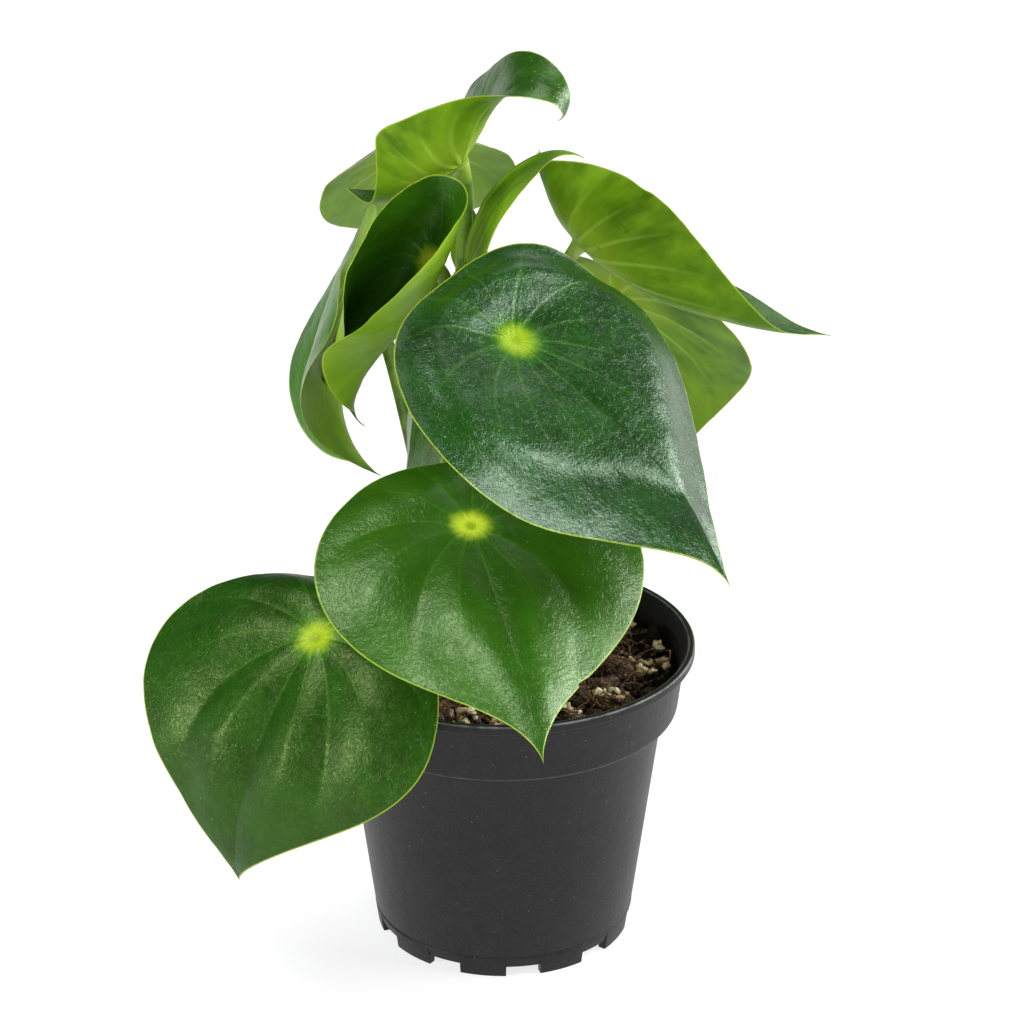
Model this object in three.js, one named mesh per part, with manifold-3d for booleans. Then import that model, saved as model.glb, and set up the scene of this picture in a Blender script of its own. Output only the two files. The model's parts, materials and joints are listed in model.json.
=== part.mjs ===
import * as THREE from 'three';
import { mergeVertices } from 'three/addons/utils/BufferGeometryUtils.js';
import Module from 'manifold-3d';

// A potted owl eye peperomia: thirteen leaves on green stalks, one short main stem,
// bark and peat soil, and a black plastic nursery pot.
// Millimetres, +Z up. The origin is on the pot's axis, at the flat pad the pot rests on.
// The front is -Y.

const wasm = await Module();
wasm.setup();
const { Manifold, Mesh } = wasm;

// Pot
const rimRadius = 60;
const rimHeight = 98;
const rimDepth = 3;
const rimWidth = 2.2;
const edgeChamfer = 0.6;
const bandTopRadius = 57;
const bandBottomRadius = 55;
const bandBottomHeight = 77;
const bodyTopRadius = 50.5;
const footRadius = 40.7;
const wallThickness = 1.6;
const seamHeight = 7;
const seamDepth = 0.5;
const seamHalfHeight = 0.4;
const floorHeight = 4;
const floorThickness = 1.6;
const padRadius = 14;
const padFlare = 1;
const footWidth = 2.6;
const potSides = 48;
const footNotchCount = 10;
const footNotchWidth = 11;
const footNotchHeight = 3.5;
const footNotchDepth = 8;
const firstNotchAngle = -81;

// Soil
const soilTopHeight = 87;
const soilGap = 0.7;
const soilRoughness = 1.5;
const soilSides = 36;
const soilRings = 7;

// Main stem
const stemFootHeight = 60;
const stemBendHeight = 92;
const stemTopHeight = 198;
const stemFootX = -14;
const stemTopX = -11;
const stemTopY = 15;
const stemRadius = 4.6;
const stemSides = 14;
const stemSteps = 14;
const stemGap = 0.4;
const stemHoleRadius = 5.6;
const stemHoleSides = 24;

// Leaves
const bladeThickness = 1.2;
const marginSteps = 14;
const ringFractions = [0.2, 0.44, 0.71, 1];
const ringSkew = 1.3;
const bendSteps = 8;
const probeStep = 0.4;
const stalkRadius = 2.5;
const stalkSides = 8;
const stalkSteps = 8;

const potColor = 0x343434;
const soilColor = 0x3b2a1e;
const stemColor = 0x5d7a2c;
const leafColor = 0x2f5f25;
const glossRoughness = 0.4;
const soilMatte = 0.95;

// What a leaf has unless it says otherwise. Lengths are in millimetres and angles in degrees.
// roll turns the blade about its length. setback is the eye's share of the length from the base,
// widest the share where the blade is widest, and basePower and tipPower how pinched its ends are.
// droopTip, droopBase and hook bend the midrib, and twist turns the blade about it toward the tip.
// Pairs are for the left half and the right half: fold raises a half along the midrib, over foldShare
// of the half's width, with tipFold added toward the tip and baseFold toward the base, and curl bends
// it on toward the margin.
// ring is the height of the raised ring around the eye. The stalk runs square to the blade over the
// distance approach, and sidestep shifts it there.
const plainLeaf = {
  roll: 0,
  setback: 0.25,
  widest: 0.37,
  basePower: 0.6,
  tipPower: 1.5,
  droopTip: 0,
  droopBase: 0,
  hook: 0,
  twist: 0,
  foldShare: 0.15,
  fold: [0, 0],
  tipFold: [0, 0],
  baseFold: [0, 0],
  curl: [0, 0],
  ring: 0,
  approach: 15,
  sidestep: [0, 0, 0],
};

// eye is the point over the stalk, heading and pitch the way from it to the tip, length and width
// the flat blade's size, from the height where the stalk leaves the stem, and leave its first course.
const leaves = [
  {
    name: 'leaf_front_large',
    eye: [4, -60, 219], heading: -31, pitch: -29, roll: -15, length: 120, width: 108,
    setback: 0.23, tipPower: 1.7, droopTip: 25, droopBase: 5, hook: 10, twist: -5,
    curl: [-25, 15], tipFold: [-15, -20], baseFold: [15, 0], ring: 3.5,
    from: 132, leave: [10, -16, 18], approach: 24,
  },
  {
    name: 'leaf_front_middle',
    eye: [-9, -65, 165], heading: -75, pitch: -20, length: 115, width: 95,
    tipPower: 1.6, droopBase: 5, hook: 20,
    curl: [-5, -10], tipFold: [-30, -30], ring: 1.5,
    from: 112, leave: [6, -24, 10], approach: 22,
  },
  {
    name: 'leaf_front_left',
    eye: [-55, -49, 122], heading: -132, pitch: -35, roll: 8, length: 107, width: 104,
    setback: 0.22, widest: 0.4, tipPower: 1.4, droopTip: 60, droopBase: 40, hook: 15,
    curl: [-10, -10], tipFold: [-10, 10], ring: 1,
    from: 96, leave: [-12, -20, 3], approach: 18,
  },
  {
    name: 'leaf_top',
    eye: [-13, 4, 251], heading: -36, pitch: 50, roll: -20, length: 100, width: 62,
    setback: 0.42, widest: 0.45, basePower: 1.5, tipPower: 1.2,
    droopTip: -50, droopBase: -65, hook: 250, twist: 10, foldShare: 0.5,
    fold: [40, 70], tipFold: [-30, -40], baseFold: [-110, -30], curl: [-20, 10],
    from: 192, leave: [-3, 3, 24], approach: 10, sidestep: [-3, 4, 0],
  },
  {
    name: 'leaf_right',
    eye: [24, 32, 217], heading: -10, pitch: -45, roll: 5, length: 115, width: 84,
    setback: 0.27, widest: 0.38, basePower: 0.5, tipPower: 1.6,
    droopTip: -70, droopBase: -35, hook: 35, twist: 15, foldShare: 0.3,
    fold: [10, 65], tipFold: [-10, 10], baseFold: [-20, 20],
    from: 168, leave: [22, 12, 16], approach: 12,
  },
  {
    name: 'leaf_arching',
    eye: [-10, -7, 221], heading: -155, pitch: 88, length: 75, width: 52,
    setback: 0.22, droopTip: -95, droopBase: 15, hook: -25, twist: 10,
    fold: [-15, 40], curl: [-10, 0], tipFold: [0, 30],
    from: 156, leave: [4, -20, 18], approach: 16, sidestep: [2, -3, 0],
  },
  {
    name: 'leaf_right_rear',
    eye: [35, 64, 188], heading: 54, pitch: -60, roll: 5, length: 110, width: 90,
    tipPower: 1.4, droopTip: 10, droopBase: 30, twist: -10,
    curl: [-10, -10], tipFold: [0, 20], baseFold: [0, -20], ring: 1,
    from: 144, leave: [24, 20, 18], approach: 22,
  },
  {
    name: 'leaf_rear_low',
    eye: [37, 88, 180], heading: 75, pitch: -60, roll: -5, length: 75, width: 65,
    droopTip: 10, droopBase: 25, curl: [-15, -15], baseFold: [-10, -10], ring: 1,
    from: 118, leave: [-10, 86, 2], approach: 12, sidestep: [-40, 34, -8],
  },
  {
    name: 'leaf_rear_high',
    eye: [-28, 56, 238], heading: 90, pitch: -45, roll: 10, length: 90, width: 65,
    droopTip: -5, droopBase: 20, hook: -5,
    fold: [-10, -5], curl: [-10, -15], baseFold: [-10, -10], ring: 1,
    from: 176, leave: [-10, 20, 20], approach: 20,
  },
  {
    name: 'leaf_dark_folded',
    eye: [-21, -10, 224], heading: 158, pitch: -60, roll: 40, length: 95, width: 95,
    setback: 0.3, widest: 0.4, tipPower: 2, droopTip: -35, droopBase: -15, hook: 105, twist: -20,
    foldShare: 0.3, fold: [20, 90], curl: [45, 75], tipFold: [70, 50],
    from: 160, leave: [-10, -2, 26], approach: 12, sidestep: [0, 3, 0],
  },
  {
    name: 'leaf_left_folded',
    eye: [-46, 23, 208], heading: -130, pitch: -65, roll: -70, length: 90, width: 90,
    setback: 0.27, widest: 0.5, droopTip: 20, hook: 65, twist: 5, foldShare: 0.3,
    fold: [8, 30], curl: [-55, 15], tipFold: [20, 30], baseFold: [-20, 0],
    from: 104, leave: [-11, 0, 28], approach: 14,
  },
  {
    name: 'leaf_inner_long',
    eye: [-24, -19, 191], heading: -140, pitch: -80, roll: -10, length: 60, width: 40,
    droopBase: 10, fold: [-10, -30], curl: [20, 10], baseFold: [-5, 5],
    from: 142, leave: [-8, -8, 20], approach: 8,
  },
  {
    name: 'leaf_inner_small',
    eye: [-5, 36, 208], heading: -140, pitch: 88, roll: 15, length: 40, width: 30,
    setback: 0.28, droopTip: 35, droopBase: 15, twist: -20,
    fold: [-25, -15], curl: [5, -25], tipFold: [-40, 0],
    from: 186, leave: [12, 12, 0], approach: 14,
  },
].map((leaf) => ({ ...plainLeaf, ...leaf }));

const radians = (degrees) => degrees * Math.PI / 180;
const clamp = (value) => Math.min(1, Math.max(0, value));
const ease = (share) => share * share * (3 - 2 * share);

function solidFrom(points, triangles) {
  const vertProperties = new Float32Array(points.flatMap((point) => [point.x, point.y, point.z]));
  return new Manifold(new Mesh({ numProp: 3, vertProperties, triVerts: new Uint32Array(triangles) }));
}

// A closed three.js geometry as a solid, with its shared vertices merged.
function solidFromGeometry(geometry) {
  geometry.deleteAttribute('normal');
  geometry.deleteAttribute('uv');
  const merged = mergeVertices(geometry, 0.001);
  const vertProperties = new Float32Array(merged.attributes.position.array);
  const triVerts = new Uint32Array(merged.index.array);
  return new Manifold(new Mesh({ numProp: 3, vertProperties, triVerts }));
}

function meshFrom(name, solid, color, roughness) {
  const { vertProperties, triVerts } = solid.getMesh();
  const geometry = new THREE.BufferGeometry();
  geometry.setAttribute('position', new THREE.BufferAttribute(new Float32Array(vertProperties), 3));
  geometry.setIndex(new THREE.BufferAttribute(new Uint32Array(triVerts), 1));
  geometry.computeVertexNormals();
  const mesh = new THREE.Mesh(geometry, new THREE.MeshStandardMaterial({ color, roughness }));
  mesh.name = name;
  return mesh;
}

// A round rod along a curve. A circle's outline has two points for each curve segment.
function rod(course, radius, sides, steps) {
  const section = new THREE.Shape().absarc(0, 0, radius, 0, 2 * Math.PI);
  return solidFromGeometry(new THREE.ExtrudeGeometry(section, {
    extrudePath: course,
    steps,
    curveSegments: sides / 2,
    bevelEnabled: false,
  }));
}

// The main stem stands upright in the soil and leans back a little above it.
function stemCentre(height) {
  const rise = clamp((height - stemBendHeight) / (stemTopHeight - stemBendHeight));
  return new THREE.Vector3(stemFootX + (stemTopX - stemFootX) * rise, stemTopY * rise * rise, height);
}

// grow widens and lengthens the stem, for the room that the leaves keep around it.
function mainStem(grow) {
  const centres = [];
  const low = stemFootHeight - grow;
  const high = stemTopHeight + grow;
  for (let step = 0; step <= stemSteps; step += 1) {
    centres.push(stemCentre(low + (high - low) * step / stemSteps));
  }
  return rod(new THREE.CatmullRomCurve3(centres), stemRadius + grow, stemSides, stemSteps);
}

// The blade's half width at a share of its length from base to tip.
function halfWidth(leaf, share) {
  const skew = Math.log(0.5) / Math.log(leaf.widest);
  const bulge = Math.max(0, Math.sin(Math.PI * share ** skew));
  return leaf.width / 2 * bulge ** (leaf.basePower + (leaf.tipPower - leaf.basePower) * share);
}

// The blade's own axes at the eye: toward the tip, out of the upper face, and to the left.
function leafAxes(leaf) {
  const heading = radians(leaf.heading);
  const pitch = radians(leaf.pitch);
  const roll = radians(leaf.roll);
  const tipward = new THREE.Vector3(
    Math.cos(pitch) * Math.cos(heading),
    Math.cos(pitch) * Math.sin(heading),
    Math.sin(pitch),
  );
  const level = new THREE.Vector3(
    -Math.sin(pitch) * Math.cos(heading),
    -Math.sin(pitch) * Math.sin(heading),
    Math.cos(pitch),
  );
  const side = level.clone().cross(tipward);
  const upward = level.multiplyScalar(Math.cos(roll)).addScaledVector(side, Math.sin(roll));
  return { tipward, upward, left: upward.clone().cross(tipward) };
}

// Simpson's rule over the run from 0 to end.
function integrate(end, value) {
  let sum = value(0) + value(end);
  for (let step = 1; step < bendSteps; step += 1) {
    sum += (step % 2 ? 4 : 2) * value(end * step / bendSteps);
  }
  return sum * end / (3 * bendSteps);
}

// A point of the flat blade, x toward the tip and y to the left of the eye, bent into the leaf's form.
function bladePoint(leaf, axes, x, y) {
  const tipReach = leaf.length * (1 - leaf.setback);
  const baseReach = leaf.length * leaf.setback;
  const droop = (run) => {
    const toTip = clamp(run / tipReach);
    const toBase = clamp(-run / baseReach);
    return radians(leaf.droopTip * toTip + leaf.hook * toTip ** 3 + leaf.droopBase * toBase);
  };
  const along = integrate(x, (run) => Math.cos(droop(run)));
  const down = integrate(Math.abs(x), (run) => Math.sin(droop(Math.sign(x) * run)));
  const slope = droop(x) * (x < 0 ? -1 : 1);
  const lifted = axes.upward.clone()
    .multiplyScalar(Math.cos(slope))
    .addScaledVector(axes.tipward, Math.sin(slope));
  const tipShare = clamp(x / tipReach);
  const baseShare = clamp(-x / baseReach);
  const turn = radians(leaf.twist * tipShare);
  const outward = axes.left.clone().multiplyScalar(Math.cos(turn)).addScaledVector(lifted, Math.sin(turn));
  const above = lifted.clone().multiplyScalar(Math.cos(turn)).addScaledVector(axes.left, -Math.sin(turn));
  const half = y >= 0 ? 0 : 1;
  const fold = leaf.fold[half]
    + leaf.tipFold[half] * ease(tipShare)
    + leaf.baseFold[half] * ease(baseShare);
  const halfSpan = leaf.width / 2;
  const rise = (run) => (
    radians(fold * Math.min(1, run / (leaf.foldShare * halfSpan)) + leaf.curl[half] * run / halfSpan));
  const reach = Math.abs(y);
  return new THREE.Vector3(...leaf.eye)
    .addScaledVector(axes.tipward, along)
    .addScaledVector(axes.upward, -down)
    .addScaledVector(outward, Math.sign(y) * integrate(reach, (run) => Math.cos(rise(run))))
    .addScaledVector(above, integrate(reach, (run) => Math.sin(rise(run))));
}

function bladeNormal(leaf, axes, x, y) {
  const tipward = bladePoint(leaf, axes, x + probeStep, y).sub(bladePoint(leaf, axes, x - probeStep, y));
  const leftward = bladePoint(leaf, axes, x, y + probeStep).sub(bladePoint(leaf, axes, x, y - probeStep));
  return tipward.cross(leftward).normalize();
}

// The blade: rings of points from the eye out to the margin, on both faces, joined at the rim.
function blade(leaf) {
  const axes = leafAxes(leaf);
  const around = 2 * marginSteps;
  const upper = [];
  const lower = [];
  const place = (x, y, ringShare) => {
    const normal = bladeNormal(leaf, axes, x, y);
    const raised = leaf.ring * Math.sin(Math.PI * ringShare ** ringSkew) ** 2;
    const centre = bladePoint(leaf, axes, x, y).addScaledVector(normal, raised);
    upper.push(centre.clone().addScaledVector(normal, bladeThickness / 2));
    lower.push(centre.addScaledVector(normal, -bladeThickness / 2));
  };
  place(0, 0, 0);
  for (const ringShare of ringFractions) {
    for (let step = 0; step < around; step += 1) {
      const share = (1 - Math.cos(Math.PI * step / marginSteps)) / 2;
      const side = step < marginSteps ? 1 : -1;
      const x = leaf.length * (share - leaf.setback);
      place(x * ringShare, side * halfWidth(leaf, share) * ringShare, ringShare);
    }
  }
  const count = upper.length;
  const triangles = [];
  const face = (a, b, c) => {
    triangles.push(a, b, c);
    triangles.push(a + count, c + count, b + count);
  };
  const rim = 1 + (ringFractions.length - 1) * around;
  for (let step = 0; step < around; step += 1) {
    const next = (step + 1) % around;
    face(0, 1 + next, 1 + step);
    for (let inner = 1; inner < rim; inner += around) {
      const outer = inner + around;
      face(inner + step, inner + next, outer + step);
      face(inner + next, outer + next, outer + step);
    }
    triangles.push(rim + step, rim + next, rim + next + count);
    triangles.push(rim + step, rim + next + count, rim + step + count);
  }
  return solidFrom([...upper, ...lower], triangles);
}

// The stalk runs from the middle of the stem to the eye along one smooth curve.
function stalk(leaf) {
  const root = stemCentre(leaf.from);
  const eye = new THREE.Vector3(...leaf.eye);
  const leaving = root.clone().add(new THREE.Vector3(...leaf.leave));
  const arriving = eye.clone()
    .addScaledVector(leafAxes(leaf).upward, -leaf.approach)
    .add(new THREE.Vector3(...leaf.sidestep));
  const course = new THREE.CubicBezierCurve3(root, leaving, arriving, eye);
  return rod(course, stalkRadius, stalkSides, stalkSteps);
}

function lathe(profile, sides) {
  const points = profile.map(([radius, height]) => new THREE.Vector2(radius, height));
  return new THREE.LatheGeometry(points, sides).rotateX(Math.PI / 2);
}

// The body tapers from the foot up to the band; the step under the band is a flat ledge.
function bodyRadius(height) {
  return footRadius + (bodyTopRadius - footRadius) * height / bandBottomHeight;
}

function potProfile() {
  const footInner = footRadius - footWidth;
  const innerTop = rimRadius - rimWidth;
  const rimBottomHeight = rimHeight - rimDepth;
  return [
    [0, 0],
    [padRadius, 0],
    [padRadius + padFlare, floorHeight],
    [footInner, floorHeight],
    [footInner, 0],
    [footRadius, 0],
    [bodyRadius(seamHeight), seamHeight - seamHalfHeight],
    [bodyRadius(seamHeight) - seamDepth, seamHeight],
    [bodyRadius(seamHeight), seamHeight + seamHalfHeight],
    [bodyTopRadius, bandBottomHeight - edgeChamfer],
    [bandBottomRadius - edgeChamfer, bandBottomHeight],
    [bandBottomRadius, bandBottomHeight + edgeChamfer],
    [bandTopRadius, rimBottomHeight - edgeChamfer],
    [rimRadius, rimBottomHeight],
    [rimRadius, rimHeight - edgeChamfer],
    [rimRadius - edgeChamfer, rimHeight],
    [innerTop + edgeChamfer, rimHeight],
    [innerTop, rimHeight - edgeChamfer],
    [bandTopRadius - wallThickness, rimBottomHeight - wallThickness],
    [bandBottomRadius - wallThickness, bandBottomHeight + wallThickness],
    [bodyTopRadius - wallThickness, bandBottomHeight - edgeChamfer],
    [bodyRadius(floorHeight) - wallThickness, floorHeight + floorThickness],
    [0, floorHeight + floorThickness],
  ];
}

function pot() {
  let solid = solidFromGeometry(lathe(potProfile(), potSides));
  for (let index = 0; index < footNotchCount; index += 1) {
    const box = new THREE.BoxGeometry(footNotchDepth, footNotchWidth, footNotchHeight * 2);
    box.translate(footRadius, 0, 0);
    box.rotateZ(radians(firstNotchAngle + index * 360 / footNotchCount));
    solid = solid.subtract(solidFromGeometry(box));
  }
  return solid;
}

// A rough, repeatable height over the soil's top, between about -1 and 1.
function unevenness(x, y) {
  return (Math.sin(x * 0.9 + 1.7 * Math.sin(y * 0.31)) + Math.sin(y * 0.7 + 2.1 * Math.sin(x * 0.23))) / 2;
}

// The soil fills the pot up to a rough top, with one plain hole where the stem stands.
function soil() {
  const inset = wallThickness + soilGap;
  const edgeRadius = bandBottomRadius - wallThickness;
  const profile = [
    [0, floorHeight + floorThickness + soilGap],
    [bodyRadius(floorHeight) - inset, floorHeight + floorThickness + soilGap],
    [bodyTopRadius - inset, bandBottomHeight - edgeChamfer + soilGap],
    [bandBottomRadius - inset, bandBottomHeight + wallThickness + soilGap],
  ];
  for (let ring = 0; ring <= soilRings; ring += 1) {
    profile.push([edgeRadius * (1 - ring / soilRings), soilTopHeight]);
  }
  const body = lathe(profile, soilSides);
  const position = body.attributes.position;
  for (let index = 0; index < position.count; index += 1) {
    const x = position.getX(index);
    const y = position.getY(index);
    const inner = Math.hypot(x, y) < edgeRadius * (1 - 0.5 / soilRings);
    if (inner && position.getZ(index) > soilTopHeight - soilGap) {
      position.setZ(index, soilTopHeight + soilRoughness * unevenness(x, y));
    }
  }
  const holeFloor = stemFootHeight - stemGap;
  const holeLength = 2 * (soilTopHeight - holeFloor);
  const hole = new THREE.CylinderGeometry(stemHoleRadius, stemHoleRadius, holeLength, stemHoleSides);
  hole.rotateX(Math.PI / 2);
  hole.translate(stemFootX, 0, holeFloor + holeLength / 2);
  return solidFromGeometry(body).subtract(solidFromGeometry(hole));
}

const group = new THREE.Group();
group.name = 'owl_eye_peperomia';
group.add(meshFrom('pot', pot(), potColor, glossRoughness));
group.add(meshFrom('soil', soil(), soilColor, soilMatte));
group.add(meshFrom('stem_main', mainStem(0), stemColor, glossRoughness));
const stemRoom = mainStem(stemGap);
for (const leaf of leaves) {
  const solid = blade(leaf).add(stalk(leaf)).subtract(stemRoom);
  group.add(meshFrom(leaf.name, solid, leafColor, glossRoughness));
}

export default group;
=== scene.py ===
import json
import math
import bpy
import numpy as np
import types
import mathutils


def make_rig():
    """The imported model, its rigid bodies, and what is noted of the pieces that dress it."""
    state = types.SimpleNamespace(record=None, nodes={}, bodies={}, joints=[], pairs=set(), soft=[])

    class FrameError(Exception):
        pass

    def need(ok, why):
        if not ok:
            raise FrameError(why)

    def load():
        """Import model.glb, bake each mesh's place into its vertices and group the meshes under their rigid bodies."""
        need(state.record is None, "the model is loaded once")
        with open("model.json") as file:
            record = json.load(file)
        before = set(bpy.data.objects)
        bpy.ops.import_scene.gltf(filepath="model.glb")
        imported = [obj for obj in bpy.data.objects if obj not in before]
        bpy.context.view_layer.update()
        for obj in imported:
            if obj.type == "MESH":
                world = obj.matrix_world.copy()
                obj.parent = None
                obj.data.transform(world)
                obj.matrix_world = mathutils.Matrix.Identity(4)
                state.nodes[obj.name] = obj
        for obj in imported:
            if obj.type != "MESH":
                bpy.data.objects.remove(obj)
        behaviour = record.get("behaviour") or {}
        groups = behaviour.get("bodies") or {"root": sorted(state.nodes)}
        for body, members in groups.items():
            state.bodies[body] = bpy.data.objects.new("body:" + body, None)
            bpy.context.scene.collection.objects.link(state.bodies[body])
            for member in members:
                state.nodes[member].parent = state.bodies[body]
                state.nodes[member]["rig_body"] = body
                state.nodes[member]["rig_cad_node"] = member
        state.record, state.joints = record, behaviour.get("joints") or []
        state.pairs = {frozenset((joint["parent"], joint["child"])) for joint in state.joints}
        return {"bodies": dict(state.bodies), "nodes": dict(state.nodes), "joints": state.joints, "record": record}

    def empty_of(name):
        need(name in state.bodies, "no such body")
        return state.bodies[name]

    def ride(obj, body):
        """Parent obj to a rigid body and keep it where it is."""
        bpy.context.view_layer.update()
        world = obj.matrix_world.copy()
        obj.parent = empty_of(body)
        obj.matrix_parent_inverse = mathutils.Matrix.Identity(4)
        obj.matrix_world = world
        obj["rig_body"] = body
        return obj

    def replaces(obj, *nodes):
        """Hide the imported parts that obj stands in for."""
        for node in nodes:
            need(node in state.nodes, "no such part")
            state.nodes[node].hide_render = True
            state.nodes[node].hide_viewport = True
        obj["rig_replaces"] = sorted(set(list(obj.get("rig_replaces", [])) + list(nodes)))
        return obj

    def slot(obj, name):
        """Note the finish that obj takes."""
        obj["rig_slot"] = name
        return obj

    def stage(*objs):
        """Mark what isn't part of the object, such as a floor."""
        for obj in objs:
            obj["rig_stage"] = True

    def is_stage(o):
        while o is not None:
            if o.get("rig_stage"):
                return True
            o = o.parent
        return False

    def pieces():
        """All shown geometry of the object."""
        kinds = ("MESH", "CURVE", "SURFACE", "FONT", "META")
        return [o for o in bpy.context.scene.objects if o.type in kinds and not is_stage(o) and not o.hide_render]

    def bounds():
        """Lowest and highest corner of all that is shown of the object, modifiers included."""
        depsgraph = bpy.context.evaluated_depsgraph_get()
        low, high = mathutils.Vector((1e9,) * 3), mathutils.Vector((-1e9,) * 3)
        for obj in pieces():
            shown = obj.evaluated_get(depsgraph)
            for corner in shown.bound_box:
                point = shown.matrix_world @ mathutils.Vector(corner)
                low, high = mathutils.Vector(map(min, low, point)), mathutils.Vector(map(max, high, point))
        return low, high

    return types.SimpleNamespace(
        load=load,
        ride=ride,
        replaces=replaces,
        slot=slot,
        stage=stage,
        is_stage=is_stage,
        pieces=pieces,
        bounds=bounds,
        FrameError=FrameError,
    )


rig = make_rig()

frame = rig.load()
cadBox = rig.bounds()
print("frame loaded with", len(frame["nodes"]), "nodes")

mm = 0.001
rng = np.random.default_rng(7)

# Camera

camera = {
    "place": (0.00275, -0.8444, 0.5089),
    "tiltDown": 23.54,     # degrees under the horizon
    "lens": 105.47,        # mm, on a 36 mm sensor
}


def makeCamera():
    data = bpy.data.cameras.new("camera")
    data.lens = camera["lens"]
    data.sensor_width = 36
    data.clip_end = 50
    holder = bpy.data.objects.new("camera", data)
    holder.location = camera["place"]
    holder.rotation_euler = (math.radians(90 - camera["tiltDown"]), 0, 0)
    bpy.context.collection.objects.link(holder)
    bpy.context.scene.camera = holder


makeCamera()
print("camera placed")

# Shader kit


def wire(tree, item, socket):
    if isinstance(item, Wire):
        tree.links.new(item.socket, socket)
    else:
        socket.default_value = item


# A socket that can stand in a Python expression; each operator adds its Math node.
class Wire:
    def __init__(self, tree, socket):
        self.tree = tree
        self.socket = socket

    def math(self, operation, *items):
        node = self.tree.nodes.new("ShaderNodeMath")
        node.operation = operation
        for item, socket in zip(items, node.inputs):
            wire(self.tree, item, socket)
        return Wire(self.tree, node.outputs[0])

    def __abs__(self):
        return self.math("ABSOLUTE", self)

    def __round__(self):
        return self.math("ROUND", self)

    def atLeast(self, other):
        return self.math("MAXIMUM", self, other)


# Gives the socket class an operator of two values, with the socket on either side of it.
def addOperator(sign, operation):
    setattr(Wire, f"__{sign}__", lambda self, other: self.math(operation, self, other))
    setattr(Wire, f"__r{sign}__", lambda self, other: self.math(operation, other, self))


operators = {"add": "ADD", "sub": "SUBTRACT", "mul": "MULTIPLY", "truediv": "DIVIDE", "pow": "POWER"}
for sign, operation in operators.items():
    addOperator(sign, operation)


# A colour from its 0 to 255 screen values.
def colour(red, green, blue):
    shares = np.array([red, green, blue]) / 255
    linear = np.where(shares <= 0.04045, shares / 12.92, ((shares + 0.055) / 1.055) ** 2.4)
    return (*[float(value) for value in linear], 1.0)


# One material: its Principled shader, the skin colour laid on so far and the nodes finishes share.
class Finish:
    def __init__(self, name, ground, **constants):
        self.material = bpy.data.materials.new(name)
        self.material.use_nodes = True
        self.tree = self.material.node_tree
        self.shader = self.tree.nodes["Principled BSDF"]
        self.skin = colour(*ground)
        self.set(**constants)

    def node(self, kind, settings, inputs, output=0):
        node = self.tree.nodes.new("ShaderNode" + kind)
        for name, value in settings.items():
            setattr(node, name, value)
        for name, item in inputs.items():
            wire(self.tree, item, node.inputs[name])
        return Wire(self.tree, node.outputs[output])

    def place(self):
        return self.node("TexCoord", {}, {}, "Object")

    def stretched(self, vector, scale):
        return self.node("Mapping", {}, {"Vector": vector, "Scale": scale})

    def attribute(self, name):
        return self.node("Attribute", {"attribute_name": name}, {}, "Vector")

    def split(self, vector):
        node = self.tree.nodes.new("ShaderNodeSeparateXYZ")
        wire(self.tree, vector, node.inputs[0])
        return [Wire(self.tree, socket) for socket in node.outputs]

    def joined(self, *parts):
        return self.node("CombineXYZ", {}, dict(enumerate(parts)))

    def noise(self, vector, size, detail=3.0, roughness=0.55, twist=0.0):
        inputs = {"Vector": vector, "Scale": 1 / size, "Detail": detail, "Roughness": roughness,
                  "Distortion": twist}
        return self.node("TexNoise", {}, inputs)

    def cells(self, vector, size):
        return self.node("TexVoronoi", {}, {"Vector": vector, "Scale": 1 / size})

    # A smooth rise from 0 at low to 1 at high; it falls where low is the larger.
    def rise(self, value, low, high):
        inputs = {"Value": value, "From Min": min(low, high), "From Max": max(low, high),
                  "To Min": float(low > high), "To Max": float(low <= high)}
        return self.node("MapRange", {"interpolation_type": "SMOOTHSTEP"}, inputs)

    def mix(self, factor, first, second):
        return self.node("Mix", {"data_type": "RGBA"}, {0: factor, 6: first, 7: second}, 2)

    # Lays a screen colour over the skin, as far as the factor says.
    def over(self, factor, *screen):
        self.skin = self.mix(factor, self.skin, colour(*screen))

    def set(self, **links):
        for socket, item in links.items():
            wire(self.tree, item, self.shader.inputs[socket.replace("_", " ")])

    # Sets the skin with its roughness, and a bump of that height, distance and strength.
    def surface(self, roughness, height, distance, strength=1.0):
        bump = self.node("Bump", {}, {"Height": height, "Distance": distance, "Strength": strength})
        self.set(Base_Color=self.skin, Roughness=roughness, Normal=bump)
        return self


# Mesh kit


# A mesh object from an array of points and arrays of four-cornered and three-cornered faces.
# The signed volume under the faces says which way they point, and they are turned outwards.
def makePiece(name, points, quads, triangles, finish, slotName, nodes):
    fan = np.concatenate([quads[:, [0, 1, 2]], quads[:, [0, 2, 3]], triangles])
    corner = points[fan]
    volume = np.einsum("ij,ij->i", corner[:, 0], np.cross(corner[:, 1], corner[:, 2])).sum()
    if volume < 0:
        quads = quads[:, ::-1]
        triangles = triangles[:, ::-1]
    loops = np.concatenate([quads.ravel(), triangles.ravel()])
    sizes = np.concatenate([np.full(len(quads), 4), np.full(len(triangles), 3)])
    mesh = bpy.data.meshes.new(name)
    mesh.vertices.add(len(points))
    mesh.vertices.foreach_set("co", points.ravel())
    mesh.loops.add(len(loops))
    mesh.loops.foreach_set("vertex_index", loops)
    mesh.polygons.add(len(sizes))
    mesh.polygons.foreach_set("loop_start", np.cumsum(sizes) - sizes)
    mesh.update(calc_edges=True)
    mesh.polygons.foreach_set("use_smooth", np.ones(len(sizes), bool))
    mesh.materials.append(finish.material)
    piece = bpy.data.objects.new(name, mesh)
    bpy.context.collection.objects.link(piece)
    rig.ride(piece, "root")
    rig.slot(piece, slotName)
    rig.replaces(piece, *nodes)
    return piece


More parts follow.
